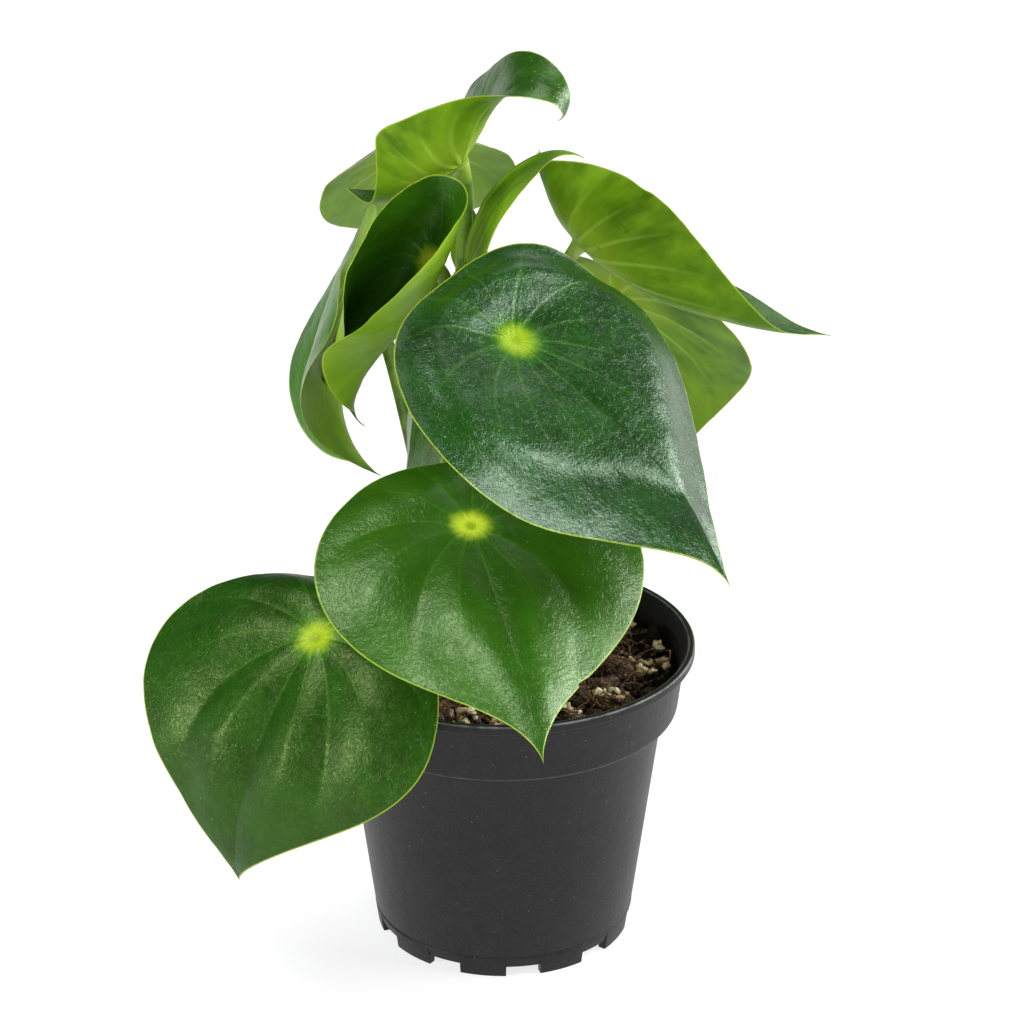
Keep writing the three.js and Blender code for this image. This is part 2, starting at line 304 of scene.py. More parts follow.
def addVectors(piece, name, values):
    layer = piece.data.attributes.new(name, "FLOAT_VECTOR", "POINT")
    layer.data.foreach_set("vector", np.ascontiguousarray(values, dtype=np.float32).ravel())


# Faces between neighbouring rows of a grid whose rows close on themselves.
def ringQuads(rows, around):
    row = np.arange(rows - 1)[:, None] * around
    step = np.arange(around)
    after = (step + 1) % around
    return np.stack([row + step, row + after, row + around + after, row + around + step], -1).reshape(-1, 4)


# Faces from one pole point to a row that closes on itself.
def poleTriangles(pole, row, around):
    step = np.arange(around)
    return np.stack([np.full(around, pole), row + (step + 1) % around, row + step], -1)


# Points, quads and triangles of many closed skins at once: points is (skin, point, xyz), each skin
# ring by ring and then the pole of its first and of its last ring.
def skins(points, rows, around):
    last = rows * around
    shift = (np.arange(len(points)) * (last + 2))[:, None, None]
    triangles = np.concatenate([poleTriangles(last, 0, around),
                                poleTriangles(last + 1, last - around, around)[:, ::-1]])
    return (points.reshape(-1, 3),
            (ringQuads(rows, around) + shift).reshape(-1, 4),
            (triangles + shift).reshape(-1, 3))


def circle(count):
    return 2 * np.pi * np.arange(count) / count


def unit(vectors):
    return vectors / np.linalg.norm(vectors, axis=-1, keepdims=True)


# Round tubes along many paths at once: paths is (tube, step, xyz) and radii (tube, step).
# Each ring is radius * (across * cos + third * sin), with across square to the path's direction
# and to one fixed vector of that tube, and each end closes on a pole.
def tubes(paths, radii, sides):
    count, steps = radii.shape
    along = unit(np.gradient(paths, axis=1))
    chord = paths[:, -1] - paths[:, 0]
    axis = np.eye(3)[np.argmin(np.abs(chord), axis=1)][:, None, :]
    across = unit(np.cross(along, axis))
    third = np.cross(along, across)
    turn = circle(sides)
    ring = across[:, :, None] * np.cos(turn)[:, None] + third[:, :, None] * np.sin(turn)[:, None]
    ring = paths[:, :, None] + ring * radii[:, :, None, None]
    points = np.concatenate([ring.reshape(count, -1, 3), paths[:, :1], paths[:, -1:]], axis=1)
    return skins(points, steps, sides)


# A smooth random height over a plane: a few seeded sine waves of about that length, summed and
# divided by 1.5 * sqrt(count), so that most of it lies within +-1.
def ripples(x, y, length, count, seed):
    draw = np.random.default_rng(seed)
    angles = draw.uniform(0, 2 * np.pi, count)
    lengths = length * draw.uniform(0.7, 1.4, count)
    phases = draw.uniform(0, 2 * np.pi, count)
    height = 0
    for angle, size, phase in zip(angles, lengths, phases):
        height = height + np.sin(2 * np.pi * (x * np.cos(angle) + y * np.sin(angle)) / size + phase)
    return height / math.sqrt(count) / 1.5


# A smooth step, 3t^2 - 2t^3, of a share that is first held between 0 and 1.
def ease(share):
    share = np.clip(share, 0, 1)
    return share * share * (3 - 2 * share)


# A bell curve, exp(-(distance / width)^2).
def bell(distance, width):
    return np.exp(-(distance / width) ** 2)


print("kits ready")

# Leaves

# Sizes in millimetres and angles in degrees; the words are those of the part's own source.
plainLeaf = {
    "roll": 0, "setback": 0.25, "widest": 0.37, "tipPower": 1.5, "droopTip": 0, "droopBase": 0,
    "hook": 0, "twist": 0, "fold": (0, 0), "tipFold": (0, 0), "baseFold": (0, 0), "curl": (0, 0),
    "foldShare": 0.15, "basePower": 0.6, "ring": 0, "approach": 15, "sidestep": (0, 0, 0),
    "duck": 0,             # how far the stalk dips under the blade just before its end
    "panel": 0.35,         # how far the veins lie above or below the sheet
    "wave": 0.18,          # height of the slow unevenness
    "brim": 0,             # height of the swelling just inside the margin
    "tone": 0.5,           # 0 a dark leaf, 1 a light one: its own tone and painted light together
    "gloss": 0.5,          # 0 a dull leaf, 1 a shiny one
    "scars": 0,            # how far it is scarred
    "nicks": (),           # each: place from base to tip, side, depth, width
}
leaves = {
    "leaf_front_large": {
        "eye": (4, -60, 219), "heading": -31, "pitch": -29, "roll": -15, "length": 120, "width": 108,
        "setback": 0.23, "tipPower": 1.7, "droopTip": 25, "droopBase": 5, "hook": 10, "twist": -5,
        "curl": (-25, 15), "tipFold": (-15, -20), "baseFold": (15, 0), "ring": 3.5,
        "from": 132, "leave": (10, -16, 18), "approach": 24, "panel": 0.04, "brim": 1.1, "tone": 0.0,
        "gloss": 0.8,
    },
    "leaf_front_middle": {
        "eye": (-9, -65, 165), "heading": -75, "pitch": -20, "length": 115, "width": 95,
        "tipPower": 1.6, "droopBase": 5, "hook": 20,
        "curl": (-5, -10), "tipFold": (-30, -30), "ring": 1.5,
        "from": 112, "leave": (6, -24, 10), "approach": 22, "panel": 1.7, "tone": 0.6,
        "nicks": ((0.755, 1, 1.7, 1.6),),
    },
    "leaf_front_left": {
        "eye": (-55, -49, 122), "heading": -132, "pitch": -35, "roll": 8, "length": 107, "width": 104,
        "setback": 0.22, "widest": 0.4, "tipPower": 1.4, "droopTip": 60, "droopBase": 40, "hook": 15,
        "curl": (-10, -10), "tipFold": (-10, 10), "ring": 1,
        "from": 96, "leave": (-12, -20, 3), "approach": 18, "panel": 2.3, "tone": 0.15,
    },
    "leaf_top": {
        "eye": (-13, 4, 251), "heading": -36, "pitch": 50, "roll": -20, "length": 100, "width": 62,
        "setback": 0.42, "widest": 0.45, "basePower": 1.5, "tipPower": 1.2, "droopTip": -50,
        "droopBase": -65, "hook": 250, "twist": 10, "foldShare": 0.5,
        "fold": (40, 70), "tipFold": (-30, -40), "baseFold": (-110, -30), "curl": (-20, 10),
        "from": 192, "leave": (-3, 3, 24), "approach": 10, "sidestep": (-3, 4, 0), "panel": 0.6,
        "tone": 0.4,
    },
    "leaf_right": {
        "eye": (24, 32, 217), "heading": -10, "pitch": -45, "roll": 5, "length": 115, "width": 84,
        "setback": 0.27, "widest": 0.38, "basePower": 0.5, "tipPower": 1.6, "droopTip": -70,
        "droopBase": -35, "hook": 35, "twist": 15, "foldShare": 0.3,
        "fold": (10, 65), "tipFold": (-10, 10), "baseFold": (-20, 20),
        "from": 168, "leave": (22, 12, 16), "approach": 12, "panel": 0.2, "tone": 0.4, "scars": 1,
    },
    "leaf_arching": {
        "eye": (-10, -7, 221), "heading": -155, "pitch": 88, "length": 75, "width": 52,
        "setback": 0.22, "droopTip": -95, "droopBase": 15, "hook": -25, "twist": 10,
        "fold": (-15, 40), "tipFold": (0, 30), "curl": (-10, 0),
        "from": 156, "leave": (4, -20, 18), "approach": 16, "sidestep": (2, -3, 0), "tone": 0.45,
    },
    "leaf_right_rear": {
        "eye": (35, 64, 188), "heading": 54, "pitch": -60, "roll": 5, "length": 110, "width": 90,
        "tipPower": 1.4, "droopTip": 10, "droopBase": 30, "twist": -10,
        "curl": (-10, -10), "tipFold": (0, 20), "baseFold": (0, -20), "ring": 1,
        "from": 144, "leave": (24, 20, 18), "approach": 22, "tone": 0.2,
    },
    "leaf_rear_low": {
        "eye": (37, 88, 180), "heading": 75, "pitch": -60, "roll": -5, "length": 75, "width": 65,
        "droopTip": 10, "droopBase": 25, "curl": (-15, -15), "baseFold": (-10, -10), "ring": 1,
        "from": 118, "leave": (-10, 86, 2), "approach": 12, "sidestep": (-40, 34, -8),
        "duck": 5, "tone": 0.9,
    },
    "leaf_rear_high": {
        "eye": (-28, 56, 238), "heading": 90, "pitch": -45, "roll": 10, "length": 90, "width": 65,
        "droopTip": -5, "droopBase": 20, "hook": -5,
        "fold": (-10, -5), "curl": (-10, -15), "baseFold": (-10, -10), "ring": 1,
        "from": 176, "leave": (-10, 20, 20), "approach": 20, "tone": 0.6,
    },
    "leaf_dark_folded": {
        "eye": (-21, -10, 224), "heading": 158, "pitch": -60, "roll": 40, "length": 95, "width": 95,
        "setback": 0.3, "widest": 0.4, "tipPower": 2, "droopTip": -35, "droopBase": -15, "hook": 105,
        "twist": -20, "foldShare": 0.3, "fold": (20, 90), "curl": (45, 75), "tipFold": (70, 50),
        "from": 160, "leave": (-10, -2, 26), "approach": 12, "sidestep": (0, 3, 0), "panel": 0.15,
        "wave": 0.15, "tone": 0.7,
    },
    "leaf_left_folded": {
        "eye": (-46, 23, 208), "heading": -130, "pitch": -65, "roll": -70, "length": 90, "width": 90,
        "setback": 0.27, "widest": 0.5, "droopTip": 20, "hook": 65, "twist": 5, "foldShare": 0.3,
        "fold": (8, 30), "curl": (-55, 15), "tipFold": (20, 30), "baseFold": (-20, 0),
        "from": 104, "leave": (-11, 0, 28), "approach": 14, "panel": 0.15, "wave": 0.15, "tone": 0.9,
    },
    "leaf_inner_long": {
        "eye": (-24, -19, 191), "heading": -140, "pitch": -80, "roll": -10, "length": 60, "width": 40,
        "droopBase": 10, "fold": (-10, -30), "curl": (20, 10), "baseFold": (-5, 5),
        "from": 142, "leave": (-8, -8, 20), "approach": 8, "tone": 0.3,
    },
    "leaf_inner_small": {
        "eye": (-5, 36, 208), "heading": -140, "pitch": 88, "roll": 15, "length": 40, "width": 30,
        "setback": 0.28, "droopTip": 35, "droopBase": 15, "twist": -20,
        "fold": (-25, -15), "curl": (5, -25), "tipFold": (-40, 0),
        "from": 186, "leave": (12, 12, 0), "approach": 14, "tone": 0.7,
    },
}
bladeForm = {
    "bendSteps": 8,        # even, for Simpson's rule
    "probe": 0.2,          # the distance over which the sheet's slope is read
    "marginSteps": 110,    # from base to tip, on each side
    "rings": 44,
    "edgeRings": (0.985, 0.994, 0.998, 1.0),
    "halfThickness": 0.5,
    "edgeThickness": 0.16,
    "edgeShare": 0.03,     # how far in from the margin the edge is rounded
    "edgeLeft": 0.15,      # how much of the thickness is left at its end
    "nickShare": 0.1,      # how far in from the margin a nick is felt
    "ringSkew": 1.3,       # above 1 it moves the raised ring outwards
    "brimPlace": 0.7, "brimWidth": 0.11,
    "veins": 13,           # around the eye, the midrib among them
    "polePlace": 1.12,     # where the side veins meet, as a share of the way from eye to tip
    "veinReach": 22,       # how far from the eye grooves and ribs fade
    "grooveDepth": 0.03, "grooveWidth": 0.6,
    "ribDepth": 0.3, "ribWidth": 0.9,
    "dimple": 0.55, "dimpleWidth": 2.6,
    "panelBulge": 0.22,    # how far a panel between two veins swells
    "panelSkew": 0.9,      # below 1 it moves the panels' full height inwards
    "panelGap": 9,         # panels flatten where veins stand closer than this
    "calmShare": 0.4,      # how far out from the eye the ripples are full
    # ripples: wave length, waves, what is added to the leaf's seed, height
    "slow": (26, 4, 30, 1), "marginal": (30, 3, 90, 0.5),
    "broadPuckers": (12, 6, 70, 0.12), "finePuckers": (5, 9, 50, 0.05),
}


# The blade's own axes at the eye: toward the tip, out of the upper face, and to the left.
def leafAxes(leaf):
    heading, pitch, roll = np.radians([leaf["heading"], leaf["pitch"], leaf["roll"]])
    tipward = np.array([np.cos(pitch) * np.cos(heading), np.cos(pitch) * np.sin(heading), np.sin(pitch)])
    level = np.array([-np.sin(pitch) * np.cos(heading), -np.sin(pitch) * np.sin(heading), np.cos(pitch)])
    upward = np.cos(roll) * level + np.sin(roll) * np.cross(level, tipward)
    return tipward, upward, np.cross(upward, tipward)


# A point (x toward the tip, y to the left) of the flat blade, bent: the midrib is the running
# integral of its droop angle, and each half is the running integral of its fold and curl angle,
# both by Simpson's rule, on a frame that leans with the droop and turns with the twist.
def bend(leaf, x, y):
    tipward, upward, left = leafAxes(leaf)
    tipReach = leaf["length"] * (1 - leaf["setback"])
    baseReach = leaf["length"] * leaf["setback"]
    steps = bladeForm["bendSteps"]
    sample = np.arange(steps + 1) / steps
    weight = np.where(np.arange(steps + 1) % 2, 4.0, 2.0)
    weight[[0, -1]] = 1
    weight /= 3 * steps

    def droop(run):
        toTip = np.clip(run / tipReach, 0, 1)
        toBase = np.clip(-run / baseReach, 0, 1)
        angle = leaf["droopTip"] * toTip + leaf["hook"] * toTip ** 3 + leaf["droopBase"] * toBase
        return np.radians(angle)

    def half(name):
        return np.where(y >= 0, leaf[name][0], leaf[name][1])

    lean = droop(x[..., None] * sample)
    along = x * (np.cos(lean) @ weight)
    down = np.abs(x) * (np.sin(lean) @ weight)
    slope = droop(x) * np.where(x < 0, -1, 1)
    lifted = np.cos(slope)[..., None] * upward + np.sin(slope)[..., None] * tipward
    tipShare = np.clip(x / tipReach, 0, 1)
    baseShare = np.clip(-x / baseReach, 0, 1)
    turn = np.radians(leaf["twist"] * tipShare)[..., None]
    outward = np.cos(turn) * left + np.sin(turn) * lifted
    above = np.cos(turn) * lifted - np.sin(turn) * left
    fold = half("fold") + half("tipFold") * ease(tipShare) + half("baseFold") * ease(baseShare)
    span = leaf["width"] / 2
    reach = np.abs(y)
    run = reach[..., None] * sample
    rise = np.radians(fold[..., None] * np.minimum(1, run / (leaf["foldShare"] * span))
                      + half("curl")[..., None] * run / span)
    level = (np.sign(y) * reach * (np.cos(rise) @ weight))[..., None]
    raised = (reach * (np.sin(rise) @ weight))[..., None]
    return (np.array(leaf["eye"]) + along[..., None] * tipward - down[..., None] * upward
            + level * outward + raised * above)


def bladeNormal(leaf, x, y):
    probe = bladeForm["probe"]
    tipward = bend(leaf, x + probe, y) - bend(leaf, x - probe, y)
    leftward = bend(leaf, x, y + probe) - bend(leaf, x, y - probe)
    return unit(np.cross(tipward, leftward))


# The flat margin, from the base to the tip and back: half width = W/2 * sin(pi * share^skew)^power,
# where the power runs from basePower to tipPower. It returns x, the half width with its side's
# sign, and how deep the nicks bite there.
def margin(leaf):
    steps = bladeForm["marginSteps"]
    share = (1 - np.cos(np.pi * np.arange(steps + 1) / steps)) / 2
    skew = math.log(0.5) / math.log(leaf["widest"])
    power = leaf["basePower"] + (leaf["tipPower"] - leaf["basePower"]) * share
    half = leaf["width"] / 2 * np.maximum(0, np.sin(np.pi * share ** skew)) ** power
    x = leaf["length"] * (share - leaf["setback"])
    dents = {1: np.zeros_like(half), -1: np.zeros_like(half)}
    for place, side, depth, width in leaf["nicks"]:
        dents[side] += depth * np.maximum(0, 1 - np.abs(share - place) * leaf["length"] / width)
    sides = ((x, x), (half, -half), (dents[1], -dents[-1]))
    return [np.concatenate([left, right[-2:0:-1]]) for left, right in sides]


# Side veins are arcs of circles through the eye and a pole just past the tip. The one through a
# point leaves the eye at atan2(pole * y, pole * x - x^2 - y^2), and there the veins stand apart by
# their angle times the distances to eye and pole, over the pole's own distance.
def veinPlaces(leaf, x, y):
    pole = leaf["length"] * (1 - leaf["setback"]) * bladeForm["polePlace"]
    turn = 2 * np.pi / bladeForm["veins"]
    place = np.arctan2(pole * y, pole * x - x * x - y * y) / turn
    return place, turn * np.hypot(x, y) * np.hypot(x - pole, y) / pole


# Panels: each vein lies at a random height, by turns below and above the sheet and the midrib
# below it, and the blade runs straight from one vein to the next, swelling a little between them.
def panels(place, seed):
    veins = bladeForm["veins"]
    order = np.minimum(np.arange(veins), veins - np.arange(veins))
    heights = np.random.default_rng(seed).uniform(0.3, 1, veins) * np.where(order % 2, 1, -1)
    heights[0] = -1
    low = np.floor(place).astype(int)
    part = place - low
    sheet = heights[low % veins] * (1 - part) + heights[(low + 1) % veins] * part
    return sheet + bladeForm["panelBulge"] * np.sin(np.pi * part)


# How far the sheet's middle is lifted: the raised ring, ring * sin(pi * share^skew)^2, the brim's
# bell, the panels, and ripples that are slow, along the margin, or small puckers.
def relief(leaf, x, y, share, place, spacing, seed):
    form = bladeForm
    outer = ease(share / form["calmShare"])
    height = leaf["ring"] * np.sin(np.pi * share ** form["ringSkew"]) ** 2
    height = height + leaf["brim"] * bell(share - form["brimPlace"], form["brimWidth"])
    height = height + (leaf["panel"] * panels(place, seed) * np.sin(np.pi * share ** form["panelSkew"])
                       * (1 - bell(spacing, form["panelGap"])))
    parts = {"slow": leaf["wave"] * outer, "marginal": share ** 6,
             "broadPuckers": outer, "finePuckers": outer}
    for name, part in parts.items():
        length, waves, offset, rise = form[name]
        height = height + rise * part * ripples(x, y, length, waves, seed + offset)
    return height


# The blade is rings of points, each a share of the margin, on an upper and a lower face that lie a
# half thickness either side of the bent sheet, along its normal. The half thickness falls with the
# cube of the share and rounds off at the edge. Above each vein is a groove and under it a rib, both
# bells that fade from the eye, and the eye itself is a dimple.
def makeBlade(name, leaf, upperSkin, lowerSkin, seed):
    form = bladeForm
    marginX, marginY, dent = margin(leaf)
    around = len(marginX)
    share = np.concatenate([np.linspace(0, 1, form["rings"])[1:-1], form["edgeRings"]])[:, None]
    rows = len(share)
    x = share * marginX
    y = share * marginY - dent * ease((share - 1) / form["nickShare"] + 1)
    place, spacing = veinPlaces(leaf, x, y)
    distance = np.hypot(x, y)
    veinDistance = np.abs(place - np.round(place)) * spacing
    nearEye = bell(distance, form["veinReach"])
    groove = form["grooveDepth"] * bell(veinDistance, form["grooveWidth"]) * nearEye
    rib = form["ribDepth"] * bell(veinDistance, form["ribWidth"]) * nearEye
    dimple = form["dimple"] * bell(distance, form["dimpleWidth"])
    half = form["halfThickness"]
    thin = form["edgeThickness"] / half
    closing = np.sqrt(1 - np.clip((share - 1) / form["edgeShare"] + 1, 0, 1) ** 2)
    rounded = form["edgeLeft"] + (1 - form["edgeLeft"]) * closing
    thickness = half * (thin + (1 - thin) * (1 - share ** 3)) * rounded

    height = relief(leaf, x, y, share, place, spacing, seed)
    middle = bend(leaf, x, y)
    normal = bladeNormal(leaf, x, y)
    upper = middle + normal * (height + thickness - groove - dimple)[..., None]
    lower = middle + normal * (height - thickness - rib)[..., None]
    zero = np.zeros(1)
    eye = bend(leaf, zero, zero)
    up = bladeNormal(leaf, zero, zero)
    eyeTop = eye + up * (half - form["dimple"] - form["grooveDepth"])
    eyeLow = eye - up * (half + form["ribDepth"])
    points = np.concatenate([upper.reshape(-1, 3), lower.reshape(-1, 3), eyeTop, eyeLow]) * mm

    each = rows * around
    top = ringQuads(rows, around)
    outermost = each - around
    step = np.arange(around)
    after = (step + 1) % around
    band = np.stack([step, after, after + each, step + each], -1) + outermost
    quads = np.concatenate([top, top[:, ::-1] + each, band])
    triangles = np.concatenate([poleTriangles(2 * each, 0, around),
                                poleTriangles(2 * each + 1, each, around)[:, ::-1]])
    piece = makePiece(name + "_blade", points, quads, triangles, upperSkin, "leaf", [name])
    piece.data.materials.append(lowerSkin.material)
    isLower = np.concatenate([np.arange(len(quads)) >= len(top), np.arange(len(triangles)) >= around])
    piece.data.polygons.foreach_set("material_index", isLower.astype(np.int32))
    flat = np.stack([x * mm, y * mm, np.ones_like(x)], -1).reshape(-1, 3)
    marks = np.stack([np.broadcast_to(share, x.shape), np.abs(place), spacing], -1).reshape(-1, 3)
    nature = np.broadcast_to([leaf["tone"], leaf["gloss"], leaf["scars"]], (len(points), 3))
    addVectors(piece, "flat", np.concatenate([flat, flat * [1, 1, -1], [[0, 0, 1], [0, 0, -1]]]))
    addVectors(piece, "marks", np.concatenate([marks, marks, [[0, 0, 0], [0, 0, 0]]]))
    addVectors(piece, "nature", nature)


# Both leaf finishes read the flat blade: attribute flat is (x, y, +1 above or -1 below), marks is
# (share of the way to the margin, place among the veins, millimetres from vein to vein) and nature
# is (tone with painted light, gloss, scars).
class LeafFinish(Finish):
    def __init__(self, name, ground, **constants):
        super().__init__(name, ground, **constants)
        self.flat = self.attribute("flat")
        self.flatX, self.flatY = self.split(self.flat)[:2]
        self.share, self.vein, self.spacing = self.split(self.attribute("marks"))
        self.tone, self.gloss, self.scars = self.split(self.attribute("nature"))
        self.distance = (self.flatX * self.flatX + self.flatY * self.flatY) ** 0.5 / mm
        self.veinDistance = abs(self.vein - round(self.vein)) * self.spacing
        self.edge = (1 - self.share) * self.distance / self.share.atLeast(0.02)
        self.here = self.place()
        self.cloud = self.noise(self.flat, 14 * mm, 3.0)
        self.blotch = self.noise(self.here, 3.2 * mm, 4.0, 0.6)
        self.grain = self.noise(self.here, 0.45 * mm, 3.0, 0.6)

    # noise that runs out from the eye along the veins
    def fan(self, perVein, width, outward, perTone, detail, roughness=0.55):
        across = self.vein * perVein + self.flatY / (width * mm)
        return self.noise(self.joined(across, outward, self.tone * perTone), 1.0, detail, roughness)

    # a thin yellow margin, wider at the tip and brown in places
    def addMargin(self):
        tip = self.rise(self.flatX / mm, 62.0, 88.0)
        wobble = self.edge + (self.blotch - 0.5) * 0.4 - tip * 0.45
        self.over(self.rise(wobble, 0.55, 0.25) * 0.75, 150, 174, 40)
        scorch = self.rise(self.noise(self.here, 9 * mm, 2.0), 0.66, 0.74) * self.rise(self.edge, 0.5, 0.1)
        self.over(scorch * 0.7, 110, 74, 34)


def upperFinish(name, ior, tint):
    look = LeafFinish(name, (9, 44, 4), IOR=ior, Specular_Tint=tint)
    distance, blotch = look.distance, look.blotch
    look.over(look.rise(look.cloud, 0.33, 0.68), 18, 63, 7)
    look.over(look.rise(blotch, 0.45, 0.8) * 0.25, 40, 88, 10)
    # painted light: lighter on leaves of higher tone, which stands partly for how brightly each leaf is lit
    look.over(look.tone * 0.55, 58, 112, 4)
    # painted sheen: pale patches in broad rays from the eye, on the lobes either side of the midrib
    rays = look.rise(look.fan(0.8, 55, look.share * 0.9, 70, 2.0), 0.4, 0.62)
    paintedSheen = rays * look.rise(distance, 8.0, 24.0) * look.rise(look.vein, 0.1, 0.8)
    look.over(paintedSheen * look.tone * 0.45, 68, 120, 20)
    lines = look.rise(look.veinDistance, 0.8, 0.1) * look.rise(distance, 60.0, 6.0)
    look.over(lines * 0.22, 80, 128, 22)
    flecks = look.rise(look.noise(look.here, 0.8 * mm, 2.0), 0.42, 0.66)
    look.over(flecks * 0.14, 66, 116, 24)
    dust = look.rise(look.cells(look.here, 3.6 * mm), 0.07, 0.035) * look.rise(look.cloud, 0.4, 0.6)
    look.over(dust * 0.6, 160, 185, 140)

    # the eye: a ragged glow, a bright core and a small darker middle
    fan = look.fan(2.4, 5, distance * 0.2, 30, 3.0)
    ragged = distance + (fan - 0.5) * 2.4 + (blotch - 0.5) * 2.2
    look.over(look.rise(ragged, 11.0, 4.0) * 0.7, 54, 116, 4)
    core = look.mix(look.tone * 1.4, colour(142, 172, 16), colour(214, 234, 56))
    look.skin = look.mix(look.rise(ragged, 7.4, 2.4), look.skin, core)
    look.over(look.rise(distance + (blotch - 0.5) * 2, 2.3, 0.9) * 0.7, 124, 154, 10)
    look.addMargin()

    # fine relief: low patches, short creases, grain and blotches
    patch = look.rise(look.noise(look.flat, 7 * mm, 2.0), 0.35, 0.65)
    crease = look.rise(abs(look.noise(look.flat, 2.6 * mm, 2.0, 0.5, 1.6) - 0.5), 0.09, 0.0)
    height = (patch * 0.12 - crease * 0.35 + look.noise(look.here, 1.1 * mm, 2.0) * 0.9
              + look.grain * 0.25 + blotch * 2 - lines * 0.5 + dust * 0.5)
    return look.surface(0.31 - look.gloss * 0.07 + blotch * 0.08, height, 0.1 * mm)


def lowerFinish():
    look = LeafFinish("leaf_under", (68, 108, 4), IOR=1.3, Specular_Tint=(0.85, 1.0, 0.5, 1.0))
    look.over(look.rise(look.cloud, 0.3, 0.7), 104, 146, 18)
    # painted light and shade: pale streaks fanning out from the stalk, for the pleats between the veins
    fan = look.fan(1.6, 30, look.share * 1.5, 50, 3.0, 0.6)
    look.over(look.rise(fan, 0.42, 0.68) * 0.5, 134, 172, 34)
    # painted light: paler undersides on leaves of higher tone, partly for how brightly each is lit
    look.over(look.rise(look.tone, 0.3, 1.0) * 0.75, 148, 190, 48)
    look.over(look.rise(look.blotch, 0.45, 0.8) * 0.15, 64, 100, 6)
    veins = look.rise(look.veinDistance, 1.1, 0.2) * look.rise(look.share, 1.0, 0.1) * 0.55
    look.over(veins, 170, 198, 84)
    # painted light: paler towards the eye, for light shining through the blade there
    look.over(look.rise(look.distance, 26.0, 3.0) * 0.55, 176, 206, 56)
    streak = look.noise(look.stretched(look.flat, (0.5, 1.6, 1.0)), 5 * mm, 3.0)
    look.over(look.rise(streak, 0.63, 0.69) * look.scars * 0.35, 72, 84, 14)
    look.addMargin()
    height = look.grain * 0.6 + look.blotch * 1.2 + veins
    return look.surface(0.42 + look.blotch * 0.12, height, 0.1 * mm, 0.8)


stalkForm = {
    "steps": 40, "sides": 20,
    "radius": 2.45, "neckRadius": 2.1,
    "rootRadius": 3.3, "rootReach": 9,       # it narrows from the root over this length
    "flareRadius": 3.6, "flareReach": 1.5,
    "sink": 0.1,           # how far under the middle of the blade it ends
    "duckShare": 0.35,     # how much of a leaf's duck is added to that
    "duckReach": 6,        # how far before its end it dips deepest
}
stemForm = {
    "foot": (-14, 0, 60), "bendHeight": 92, "top": (-11, 15, 198),
    "steps": 120, "sides": 36, "footRadius": 5.1, "topRadius": 3.4, "capHeight": 3.4,
    "jointSwell": 0.55, "jointReach": 2.6,
    "ridges": ((3, 40, 0.03), (7, -90, 0.02)),    # waves around, turn per metre, depth
}


def stemCentre(height):
    foot, top = np.array(stemForm["foot"]), np.array(stemForm["top"])
    rise = np.clip((height - stemForm["bendHeight"]) / (top[2] - stemForm["bendHeight"]), 0, 1)
    return np.stack([foot[0] + (top[0] - foot[0]) * rise, top[1] * rise * rise, height], -1)


# A cubic Bezier from the stem to the eye: it leaves along its first course and comes in square to
# the blade, less duck * left/reach * e^(1 - left/reach), where left is the length still to go. The
# radius is wide at the root, slim at the neck, and flares where it meets the blade.
def makeStalk(name, leaf, finish):
    form = stalkForm
    t = (1 - np.cos(np.pi * np.linspace(0, 1, form["steps"]))) / 2
    upward = leafAxes(leaf)[1]
    eye = np.array(leaf["eye"]) - upward * (form["sink"] + leaf["duck"] * form["duckShare"])
    root = stemCentre(np.array(float(leaf["from"])))
    corners = [root, root + leaf["leave"], eye - upward * leaf["approach"] + leaf["sidestep"], eye]
    path = sum(math.comb(3, k) * ((1 - t) ** (3 - k) * t ** k)[:, None] * corners[k] for k in range(4))
    run = np.concatenate([[0], np.cumsum(np.linalg.norm(np.diff(path, axis=0), axis=1))])
    left = run[-1] - run
    dip = left / form["duckReach"]
    path = path - upward * (leaf["duck"] * dip * np.exp(1 - dip))[:, None]
    slim = form["radius"] + (form["neckRadius"] - form["radius"]) * t
    radius = slim + (form["rootRadius"] - slim) * np.exp(-run / form["rootReach"])
    radius = radius + (form["flareRadius"] - form["neckRadius"]) * np.exp(-left / form["flareReach"])
    tube = tubes(path[None] * mm, radius[None] * mm, form["sides"])
    piece = makePiece(name + "_stalk", *tube, finish, "leaf", [name])
    ring = np.repeat(np.stack([t, left / run[-1], np.zeros_like(t)], -1), form["sides"], axis=0)
    addVectors(piece, "along", np.concatenate([ring, [[0, 1, 0], [1, 0, 0]]]))


# The main stem: a rod with a round cap that swells by a bell at each joint and is out of round by
# a sum of depth * sin(waves * turn + drift * z).
def makeStem(finish):
    form = stemForm
    height = np.linspace(form["foot"][2] + 0.5, form["top"][2], form["steps"])
    path = stemCentre(height)
    share = (height - height[0]) / (height[-1] - height[0])
    radius = form["footRadius"] + (form["topRadius"] - form["footRadius"]) * share
    for leaf in leaves.values():
        radius = radius + form["jointSwell"] * bell(height - leaf["from"], form["jointReach"])
    intoCap = np.clip((height - height[-1]) / form["capHeight"] + 1, 0, 1)
    radius = radius * np.sqrt(np.clip(1 - intoCap ** 2, 0.02, 1))
    points, quads, triangles = tubes(path[None] * mm, radius[None] * mm, form["sides"])
    centre = stemCentre(points[:, 2] / mm)[:, :2] * mm
    offset = points[:, :2] - centre
    turn = np.arctan2(offset[:, 1], offset[:, 0])
    swell = 1
    for waves, drift, depth in form["ridges"]:
        swell = swell + depth * np.sin(waves * turn + drift * points[:, 2])
    points[:, :2] = centre + offset * swell[:, None]
    makePiece("main_stem", points, quads, triangles, finish, "stem", ["stem_main"])


